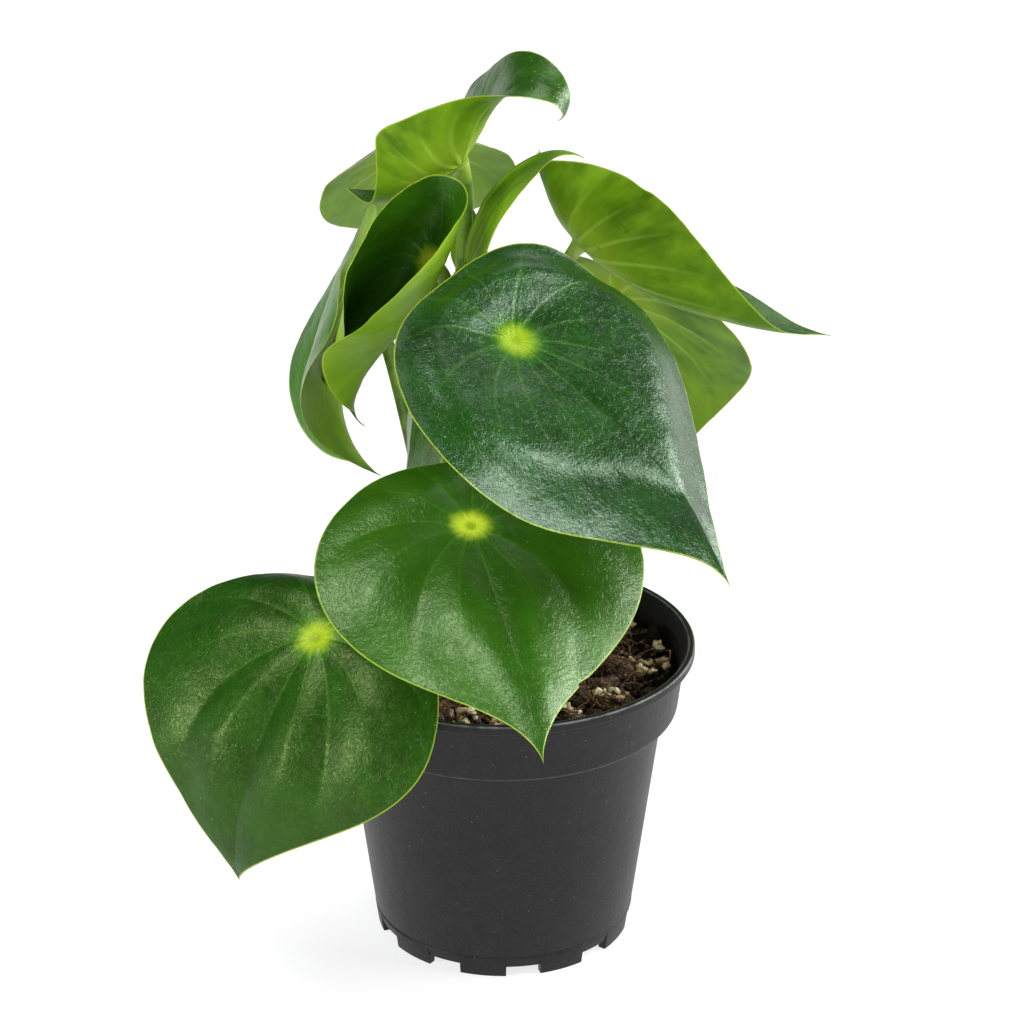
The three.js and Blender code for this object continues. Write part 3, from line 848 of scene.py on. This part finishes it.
def stalkFinish():
    look = Finish("stalk_skin", (84, 118, 34), Coat_Weight=0.08, Coat_Roughness=0.3)
    share, left = look.split(look.attribute("along"))[:2]
    place = look.place()
    streaks = look.noise(look.stretched(place, (1.0, 1.0, 0.12)), 1.0 * mm, 3.0)
    cloud = look.noise(place, 6 * mm, 3.0)
    look.over(look.rise(cloud, 0.35, 0.65), 124, 160, 58)
    look.over(look.rise(streaks, 0.5, 0.75) * 0.4, 150, 184, 84)
    look.over(look.rise(left, 0.12, 0.0) * 0.7, 178, 206, 84)
    look.over(look.rise(share, 0.25, 0.0) * 0.45, 92, 84, 38)
    height = streaks * 0.8 + look.noise(place, 0.4 * mm) * 0.2
    return look.surface(0.34 + cloud * 0.18, height, 0.12 * mm, 0.6)


def stemFinish():
    look = Finish("stem_skin", (74, 96, 34))
    place = look.place()
    streaks = look.noise(look.stretched(place, (1.0, 1.0, 0.15)), 1.3 * mm, 4.0)
    cloud = look.noise(place, 8 * mm, 3.0)
    low = look.split(place)[2] / mm
    look.over(look.rise(cloud, 0.35, 0.65), 112, 136, 54)
    look.over(look.rise(low, 135.0, 88.0) * 0.65, 98, 74, 44)
    look.over(look.rise(streaks, 0.52, 0.72) * 0.45, 142, 134, 84)
    dots = look.rise(look.cells(look.stretched(place, (1.0, 1.0, 0.5)), 2.4 * mm), 0.22, 0.12)
    look.over(dots * 0.4, 160, 150, 104)
    return look.surface(0.42 + cloud * 0.2, streaks + dots * 0.5, 0.2 * mm, 0.8)


# The front leaves differ in gloss: the large one is the coolest, the left one the least shiny.
plainSkin = upperFinish("leaf_upper", 1.55, (0.8, 1.0, 0.6, 1.0))
ownSkins = {
    "leaf_front_large": upperFinish("leaf_upper_large", 1.52, (0.76, 1.0, 0.8, 1.0)),
    "leaf_front_left": upperFinish("leaf_upper_left", 1.44, (0.8, 1.0, 0.4, 1.0)),
}
lowerSkin = lowerFinish()
stalkSkin = stalkFinish()
for number, (leafName, ownValues) in enumerate(leaves.items()):
    leafValues = {**plainLeaf, **ownValues}
    makeBlade(leafName, leafValues, ownSkins.get(leafName, plainSkin), lowerSkin, 100 + number)
    makeStalk(leafName, leafValues, stalkSkin)
makeStem(stemFinish())
print("leaves and stem made")

# Pot

potForm = {
    "rimRadius": 60, "rimHeight": 98, "rimDepth": 3, "rimWidth": 2.2,
    "bandTopRadius": 57, "bandBottomRadius": 55, "bandBottomHeight": 77,
    "bodyTopRadius": 50.5, "footRadius": 40.7, "wall": 1.6,
    "seamHeight": 7, "seamDepth": 0.35, "seamReach": 0.45,
    "floorHeight": 4, "floorThickness": 1.6, "padRadius": 14, "footWidth": 2.6,
    "notches": 10, "notchWidth": 11, "notchHeight": 3.5, "firstNotch": -81,
    "around": 400, "bevelSteps": 5,
    "sharpAngle": 40,      # degrees, from which an edge is shaded sharp
}
innerRadius = potForm["bandBottomRadius"] - potForm["wall"]
floorTop = potForm["floorHeight"] + potForm["floorThickness"]


# A profile of straight lines with each corner rounded off by an arc-like curve: the corner's two
# neighbours at the given distance from it, blended as (1-t)^2 a + 2t(1-t) corner + t^2 b.
def roundedProfile(corners):
    rows = []
    places = np.array([corner[:2] for corner in corners], float)
    t = np.linspace(0, 1, potForm["bevelSteps"])[:, None]
    for index, (here, corner) in enumerate(zip(places, corners)):
        size = corner[2]
        if size == 0:
            rows.append(here[None])
            continue
        before = places[index - 1] - here
        after = places[index + 1] - here
        first = here + before * min(size / np.linalg.norm(before), 0.45)
        last = here + after * min(size / np.linalg.norm(after), 0.45)
        rows.append((1 - t) ** 2 * first + 2 * t * (1 - t) * here + t ** 2 * last)
    return np.concatenate(rows)


# The corners from the pad under the floor, up the outside and down the inside: each is a radius, a
# height and the distance at which its bevel starts.
def potProfile():
    form = potForm
    pad, foot, wall = form["padRadius"], form["footRadius"], form["wall"]
    body, low = form["bodyTopRadius"], form["bandBottomHeight"]
    seam, reach = form["seamHeight"], form["seamReach"]
    seamRadius = foot + (body - foot) / low * seam
    bandLow, band = form["bandBottomRadius"], form["bandTopRadius"]
    rim, top = form["rimRadius"], form["rimHeight"]
    lip = top - form["rimDepth"]
    return roundedProfile([
        (pad * 0.5, 0, 0),
        (pad, 0, 0.6),
        (pad + 1, form["floorHeight"], 0.6),
        (foot - form["footWidth"], form["floorHeight"], 0.6),
        (foot - form["footWidth"], 0.0, 0.25),
        (foot, 0.0, 0.35),
        (seamRadius, seam - reach, 0.2),
        (seamRadius - form["seamDepth"], seam, 0.2),
        (seamRadius, seam + reach, 0.2),
        (body * 0.5 + seamRadius * 0.5, (low + seam) / 2, 0),
        (body, low - 0.5, 0.5),
        (bandLow - 0.3, low, 0.3),
        (bandLow, low + 0.9, 0.7),
        (band, lip - 0.3, 0.5),
        (rim, lip, 0.6),
        (rim, top, 0.9),
        (rim - form["rimWidth"], top, 0.9),
        (band - wall, lip - wall, 0.8),
        (bandLow - wall, low + wall, 0.8),
        (body - wall, low - 0.5, 0.8),
        (foot - wall, floorTop, 1.0),
        (foot * 0.5, floorTop, 0),
    ])


# A closed skin from rings round the Z axis: x, y and z are (ring, step), and its two poles lie on
# the axis at the heights given.
def turned(x, y, z, firstPole, lastPole):
    points = np.stack([x, y, z], -1).reshape(-1, 3)
    points = np.concatenate([points, [[0, 0, firstPole], [0, 0, lastPole]]]) * mm
    return skins(points[None], *z.shape)


# The profile turned about Z. Where an angle lies in a notch, the foot's bottom points rise to the
# notch's top, and each notch's edges get two close angles so that its sides stand up straight.
def makePot(finish):
    form = potForm
    centres = np.radians(form["firstNotch"] + 360 / form["notches"] * np.arange(form["notches"]))
    halfAngle = form["notchWidth"] / 2 / form["footRadius"]
    edges = (centres[:, None] + np.array([-1, -0.985, 0.985, 1]) * halfAngle).ravel()
    even = np.linspace(0, 2 * np.pi, form["around"], endpoint=False)
    angles = np.unique(np.round(np.concatenate([even, edges % (2 * np.pi)]), 5))
    gap = np.abs((angles[:, None] - centres + np.pi) % (2 * np.pi) - np.pi).min(1)
    inNotch = gap < halfAngle * 0.99
    profile = potProfile()
    radius, height = profile[:, 0][:, None], profile[:, 1][:, None]
    isFoot = (radius > form["padRadius"] + 5) & (height < form["notchHeight"])
    z = np.where(isFoot & inNotch, form["notchHeight"] + height * 0.05, height)
    skin = turned(radius * np.cos(angles), radius * np.sin(angles), z, 0, floorTop)
    piece = makePiece("nursery_pot", *skin, finish, "pot", ["pot"])
    piece.data.set_sharp_from_angle(angle=math.radians(form["sharpAngle"]))


def potFinish():
    look = Finish("pot_plastic", (7, 7, 8), Specular_IOR_Level=0.3)
    place = look.place()
    x, y, z = look.split(place)
    radius = (x * x + y * y) ** 0.5 / mm
    height = z / mm
    cloud = look.noise(place, 22 * mm, 3.0)
    mottle = look.noise(place, 5 * mm, 4.0, 0.65)
    flow = look.noise(look.stretched(place, (1.0, 1.0, 0.08)), 2.2 * mm, 3.0)
    grain = look.noise(place, 0.35 * mm, 3.0)
    look.over(look.rise(cloud, 0.3, 0.7), 13, 13, 14)
    look.over(look.rise(flow, 0.55, 0.8) * 0.3, 24, 24, 25)
    look.over(look.rise(mottle, 0.4, 0.75) * 0.35, 34, 34, 35)
    flecks = look.rise(look.noise(place, 0.7 * mm, 3.0, 0.7), 0.45, 0.7)
    look.over(flecks * 0.5, 38, 38, 39)
    dust = look.rise(look.cells(place, 2.6 * mm), 0.09, 0.03) * look.rise(mottle, 0.42, 0.6)
    look.over(dust * 0.8, 130, 128, 122)
    scuffs = look.rise(look.noise(look.stretched(place, (0.25, 0.25, 1.4)), 1.1 * mm, 2.0), 0.7, 0.78)
    look.over(scuffs * 0.4, 74, 74, 74)

    # painted highlights: pale lines along the rim's two upper edges and along the foot of the band
    rim = potForm["rimRadius"] - potForm["rimWidth"] / 2
    edges = look.rise(abs(abs(radius - rim) - potForm["rimWidth"] / 2 + 0.25), 0.4, 0.0)
    edges = edges * look.rise(height, potForm["rimHeight"] - 0.9, potForm["rimHeight"] - 0.3)
    step = look.rise(abs(height - potForm["bandBottomHeight"] - 0.3), 0.5, 0.1)
    paintedEdgeHighlight = edges * 0.6 + step * look.rise(radius, 53.5, 54.5) * 0.12
    look.over(paintedEdgeHighlight * look.rise(mottle, 0.25, 0.6), 150, 150, 150)
    roughness = 0.3 + cloud * 0.12 + flow * 0.08 + mottle * 0.08
    return look.surface(roughness, flow * 0.8 + grain * 1.2 + mottle * 4 + dust, 0.05 * mm)


makePot(potFinish())
print("pot made")

# Soil

soilForm = {
    "gap": 0.5, "around": 240, "rings": 60, "holeRadius": 5.4,
    "bedTop": 86.2,        # the bed's mean height
    "relief": ((20, 5, 2.2), (9, 8, 2.2), (3.4, 9, 0.8)),    # wave length, waves, height
    # where the pale grit lies in clusters, how many grains each has and how far they spread
    "gritSpots": ((45, 0), (53, 2), (30, -21), (36, -22), (57, 17), (21, -29), (-12, -35), (0, -39),
                  (-34, 22), (-18, 40), (14, 44), (-44, -8), (38, 30), (-30, -28)),
    "gritGrains": 16, "gritSpread": 2.3,
}


def bedHeight(x, y):
    height = soilForm["bedTop"]
    for number, (length, waves, rise) in enumerate(soilForm["relief"]):
        height = height + rise * ripples(x, y, length, waves, 11 + number)
    return height


# The bed is turned about Z from its floor up its side and over its top, whose height is the sum of
# ripples of three lengths.
def makeBed(finish):
    pot, form = potForm, soilForm
    wall = pot["wall"] + form["gap"]
    floor = floorTop + form["gap"]
    side = np.array([
        (pot["footRadius"] * 0.5, floor),
        (pot["footRadius"] - wall, floor),
        (pot["bodyTopRadius"] - wall, pot["bandBottomHeight"]),
        (pot["bandBottomRadius"] - wall, pot["bandBottomHeight"] + 2.4),
    ])
    edge = pot["bandBottomRadius"] - wall + 0.8
    radius = np.concatenate([side[:, 0], edge * np.linspace(1, 0.02, form["rings"])])[:, None]
    turn = circle(form["around"])
    x = radius * np.cos(turn)
    y = radius * np.sin(turn)
    z = bedHeight(x, y)
    z[:len(side)] = side[:, 1:]
    centre = bedHeight(np.zeros(1), np.zeros(1))[0]
    makePiece("soil_bed", *turned(x, y, z, floor, centre), finish, "soil", ["soil"])


# Random places on the bed, even over its area, clear of the stem and of the pot's wall.
def scatter(form):
    count, keep = form["count"], form["keep"]
    radius = (innerRadius - keep) * np.sqrt(rng.uniform(0, 1, 3 * count))
    turn = rng.uniform(0, 2 * np.pi, 3 * count)
    x = radius * np.cos(turn)
    y = radius * np.sin(turn)
    stemX, stemY = stemForm["foot"][:2]
    clear = np.hypot(x - stemX, y - stemY) > soilForm["holeRadius"] + keep * 0.5
    return x[clear][:count], y[clear][:count]


# Places close round each grit spot.
def scatterGrit():
    spots = np.repeat(np.array(soilForm["gritSpots"], float), soilForm["gritGrains"], axis=0)
    spots += rng.normal(0, soilForm["gritSpread"], spots.shape)
    spots *= np.minimum(1, (innerRadius - 2.2) / np.hypot(*spots.T))[:, None]
    return spots[:, 0], spots[:, 1]


# Three axes for each lump: forward at a random heading, tilted by up to that angle.
def randomAxes(count, tilt):
    turn = rng.uniform(0, 2 * np.pi, count)
    lean = rng.uniform(0, 2 * np.pi, count)
    steep = np.radians(rng.uniform(0, tilt, count))
    up = np.stack([np.sin(steep) * np.cos(lean), np.sin(steep) * np.sin(lean), np.cos(steep)], -1)
    forward = np.stack([np.cos(turn), np.sin(turn), np.zeros(count)], -1)
    forward = unit(forward - up * np.sum(forward * up, axis=1, keepdims=True))
    return np.stack([forward, np.cross(up, forward), up], 1)


# Lumps: along t from -1 to 1 the cross-section is (1 - t^2)^fullness * (1 + ridges), where the
# ridges are sines around the lump that shift along it, and each point is pushed in or out at
# random. A lump is scaled to its length, width and thickness, bowed by bow * t^2, turned on its own
# axes and set on the bed. Attribute grain is (millimetres along it, turns around it, its shade).
def makeLumps(name, finish, spots, form):
    x, y = spots
    count = len(x)
    steps, sides = form["mesh"]
    t = np.linspace(-0.97, 0.97, steps)[None, :, None]
    turn = circle(sides)
    radius = np.ones((count, steps, sides))
    for waves, depth in form["ridges"]:
        phase = rng.uniform(0, 2 * np.pi, (count, 1, 1))
        drift = rng.uniform(-3, 3, (count, 1, 1))
        radius = radius + depth * np.sin(waves * turn + phase + drift * t)
    radius = radius + form["rough"] * rng.uniform(-1, 1, radius.shape)
    radius = radius * (1 - t * t) ** form["fullness"]
    sizes = [rng.uniform(*form[key], (count, 1, 1)) / 2 for key in ("length", "width", "thick")]
    length, width, thickness = sizes
    bow = rng.uniform(-0.25, 0.25, (count, 1, 1)) * length
    ring = np.stack([
        (t + np.zeros_like(radius)) * length,
        radius * np.cos(turn) * width + bow * t * t,
        radius * np.sin(turn) * thickness,
    ], -1).reshape(count, -1, 3)
    ends = [np.concatenate([sign * length, bow, bow * 0], axis=2) for sign in (-1, 1)]
    local = np.concatenate([ring, *ends], axis=1)
    points = local @ randomAxes(count, form["tilt"])
    centre = np.stack([x, y, bedHeight(x, y) + rng.uniform(*form["lift"], count)], -1)
    skin = skins((points + centre[:, None]) * mm, steps, sides)
    piece = makePiece(name, *skin, finish, "soil", ["soil"])
    around = np.concatenate([np.tile(np.abs(turn - np.pi), steps), [0, 0]])
    shade = rng.uniform(0, 1, (count, 1))
    grain = np.stack(np.broadcast_arrays(local[..., 0], around, shade), -1)
    addVectors(piece, "grain", grain.reshape(-1, 3))


# Fibres: tubes along arched, wandering paths that lie on the bed.
def makeFibres(name, finish, form):
    x, y = scatter(form)
    count = len(x)
    steps, sides = form["mesh"]
    t = np.linspace(-1, 1, steps)
    length = rng.uniform(*form["length"], (count, 1))
    wander = np.cumsum(rng.normal(0, form["wander"], (count, steps)), axis=1)
    heading = rng.uniform(0, 2 * np.pi, (count, 1)) + wander
    pathX = x[:, None] + np.cumsum(np.cos(heading), axis=1) * length / steps
    pathY = y[:, None] + np.cumsum(np.sin(heading), axis=1) * length / steps
    inward = np.minimum(1, (innerRadius - 1.2) / np.hypot(pathX, pathY))
    pathX, pathY = pathX * inward, pathY * inward
    arch = rng.uniform(0, form["arch"], (count, 1)) * (1 - t * t)
    lift = rng.uniform(*form["lift"], (count, 1))
    pathZ = bedHeight(pathX, pathY) * 0.6 + bedHeight(x, y)[:, None] * 0.4 + arch + lift
    radius = rng.uniform(*form["radius"], (count, 1)) * (1 - 0.7 * np.abs(t) ** 3)
    tube = tubes(np.stack([pathX, pathY, pathZ], -1) * mm, radius * mm, sides)
    piece = makePiece(name, *tube, finish, "soil", ["soil"])
    along = np.concatenate([np.repeat(t, sides), [-1, 1]]) * length / 2
    shade = rng.uniform(0, 1, (count, 1))
    grain = np.stack(np.broadcast_arrays(along, 0.0, shade), -1)
    addVectors(piece, "grain", grain.reshape(-1, 3))


def bedFinish():
    look = Finish("peat", (12, 8, 6), Specular_IOR_Level=0.15)
    place = look.place()
    cloud = look.noise(place, 5 * mm, 5.0, 0.65)
    crumbs = look.noise(place, 0.9 * mm, 4.0, 0.7)
    height = look.split(place)[2] / mm
    look.over(look.rise(cloud, 0.35, 0.7), 36, 25, 17)
    look.over(look.rise(crumbs, 0.55, 0.75) * 0.5, 84, 60, 38)
    # painted shade: near black where the bed lies low, in the hollows between the lumps
    look.over(look.rise(height, 87.5, 85.0) * 0.8, 5, 4, 3)
    return look.surface(0.85 + cloud * 0.1, crumbs + cloud, 0.8 * mm)


# Every crumb shares one build: three colours picked by the piece's own shade, and streaks along it.
def crumbFinish(name, dark, middle, light, streak, roughness):
    look = Finish(name, dark, Specular_IOR_Level=0.25)
    along, around, shade = look.split(look.attribute("grain"))
    lengthwise = look.joined(along * 0.25 / streak, around * 1.6 / streak, shade * 90)
    fibre = look.noise(lengthwise, 1.0, 4.0, 0.65)
    stain = look.noise(look.place(), 1.6 * mm, 3.0)
    look.over(look.rise(shade, 0.1, 0.8), *middle)
    look.over(look.rise(fibre, 0.48, 0.72) * 0.75, *light)
    look.over(look.rise(fibre, 0.5, 0.3) * 0.8, *dark)
    look.over(look.rise(stain, 0.5, 0.35) * 0.5, *dark)
    return look.surface(roughness + fibre * 0.15, fibre + stain * 0.4, 0.4 * mm, 0.8)


# Sizes and lifts are the least and the most, in millimetres; each ridge is its waves and its depth;
# keep is the room left to the stem and the wall.
barkForm = {
    "count": 75, "keep": 7,
    "mesh": (15, 20), "ridges": ((2, 0.14), (5, 0.13), (9, 0.1)), "rough": 0.06, "fullness": 0.3,
    "length": (9, 19), "width": (5, 10), "thick": (4, 7.5), "tilt": 25, "lift": (-1.6, 1.0),
}
chipForm = {
    "count": 220, "keep": 4,
    "mesh": (6, 8), "ridges": ((2, 0.1), (3, 0.1)), "rough": 0.12, "fullness": 0.3,
    "length": (3, 7), "width": (1.8, 4), "thick": (1, 2.4), "tilt": 45, "lift": (-0.3, 1.6),
}
crumbForm = {
    "count": 800, "keep": 2.5,
    "mesh": (4, 6), "ridges": ((2, 0.15),), "rough": 0.2, "fullness": 0.4,
    "length": (1, 2.8), "width": (0.8, 2), "thick": (0.7, 1.6), "tilt": 80, "lift": (-0.2, 1.2),
}
gritForm = {
    "mesh": (6, 8), "ridges": ((2, 0.22), (3, 0.2)), "rough": 0.28, "fullness": 0.35,
    "length": (1.2, 4.2), "width": (0.9, 3.2), "thick": (0.8, 2.8), "tilt": 90, "lift": (0.8, 3.2),
}
shredForm = {
    "count": 170, "keep": 3, "mesh": (10, 5), "length": (6, 16), "radius": (0.3, 0.75),
    "wander": 0.22, "arch": 2.5, "lift": (0.2, 1.8),
}
fibreForm = {
    "count": 210, "keep": 3, "mesh": (14, 5), "length": (9, 26), "radius": (0.12, 0.34),
    "wander": 0.34, "arch": 4.5, "lift": (0.8, 2.6),
}
makeBed(bedFinish())
barkSkin = crumbFinish("bark", (24, 16, 10), (68, 46, 30), (172, 136, 100), 0.35, 0.55)
fibreSkin = crumbFinish("coir", (44, 29, 18), (100, 70, 44), (182, 144, 100), 0.3, 0.55)
gritSkin = crumbFinish("grit", (156, 120, 78), (236, 220, 188), (254, 250, 240), 0.8, 0.6)
for pieceName, form in {"soil_bark": barkForm, "soil_chips": chipForm, "soil_crumbs": crumbForm}.items():
    makeLumps(pieceName, barkSkin, scatter(form), form)
makeFibres("soil_shreds", barkSkin, shredForm)
makeFibres("soil_fibres", fibreSkin, fibreForm)
makeLumps("soil_grit", gritSkin, scatterGrit(), gritForm)
print("soil made")

# Studio

studio = {
    "horizon": 1.0,        # the surroundings' brightness, level with the eye
    "zenith": 0.05,        # and overhead
    "fade": 0.15,          # the height in the sky at which it has fallen to that
    "floorHalf": 12,       # metres
    "floorGlow": (0.3, 1.6),    # the floor's glow grows over these distances from the plant
    "target": (0, 0, 0.14),     # where every lamp points
    "lamps": {
        "right": {"place": (1.1, -0.22, 0.88), "size": (0.6, 0.5), "power": 13},
        "low": {"place": (1.2, 0.5, 0.5), "size": (0.5, 0.5), "power": 12},
        "top": {"place": (-0.5, -0.18, 1.33), "size": (0.55, 0.6), "power": 10},
        "front": {"place": (0.15, -1.35, 0.62), "size": (0.9, 0.7), "power": 7},
        "back": {"place": (0.36, 0.92, 1.2), "size": (0.55, 0.85), "power": 3},
        "left": {"place": (-1.15, -0.65, 0.5), "size": (0.35, 0.35), "power": 8},
    },
}


def makeFloor():
    look = Finish("studio_floor", (225, 225, 226), Roughness=0.9, Specular_IOR_Level=0.0,
                  Emission_Strength=1.0)
    x, y = look.split(look.place())[:2]
    look.over(look.rise((x * x + y * y) ** 0.5, *studio["floorGlow"]), 248, 248, 249)
    look.set(Base_Color=colour(156, 156, 156), Emission_Color=look.skin)
    mesh = bpy.data.meshes.new("studio_floor")
    half = studio["floorHalf"]
    corners = [(-half, -half, 0), (half, -half, 0), (half, half, 0), (-half, half, 0)]
    mesh.from_pydata(corners, [], [(0, 1, 2, 3)])
    mesh.materials.append(look.material)
    floor = bpy.data.objects.new("studio_floor", mesh)
    bpy.context.collection.objects.link(floor)
    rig.stage(floor)


def makeLamps():
    for name, lamp in studio["lamps"].items():
        data = bpy.data.lights.new(name, "AREA")
        data.shape = "RECTANGLE"
        data.size, data.size_y = lamp["size"]
        data.energy = lamp["power"]
        holder = bpy.data.objects.new(name, data)
        holder.location = lamp["place"]
        x, y, z = np.array(studio["target"]) - np.array(lamp["place"])
        holder.rotation_euler = (math.atan2(math.hypot(x, y), -z), 0, math.atan2(y, x) - math.pi / 2)
        bpy.context.collection.objects.link(holder)


# The surroundings are pale at the horizon and dim overhead.
def makeWorld():
    world = bpy.data.worlds.new("studio")
    world.use_nodes = True
    tree = world.node_tree
    height = tree.nodes.new("ShaderNodeSeparateXYZ")
    tree.links.new(tree.nodes.new("ShaderNodeTexCoord").outputs["Generated"], height.inputs[0])
    strength = tree.nodes.new("ShaderNodeMapRange")
    settings = {"Value": Wire(tree, height.outputs[2]), "From Min": 0.0, "From Max": studio["fade"],
                "To Min": studio["horizon"], "To Max": studio["zenith"]}
    for socket, value in settings.items():
        wire(tree, value, strength.inputs[socket])
    background = tree.nodes["Background"]
    background.inputs["Color"].default_value = (1, 1, 1, 1)
    tree.links.new(strength.outputs[0], background.inputs["Strength"])
    bpy.context.scene.world = world
    bpy.context.scene.view_settings.view_transform = "Standard"


makeFloor()
makeLamps()
makeWorld()
print("studio made")

boxes = {"cad": [list(corner) for corner in cadBox], "visual": [list(corner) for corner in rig.bounds()]}
with open("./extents.json", "w") as sizeFile:
    json.dump(boxes, sizeFile)
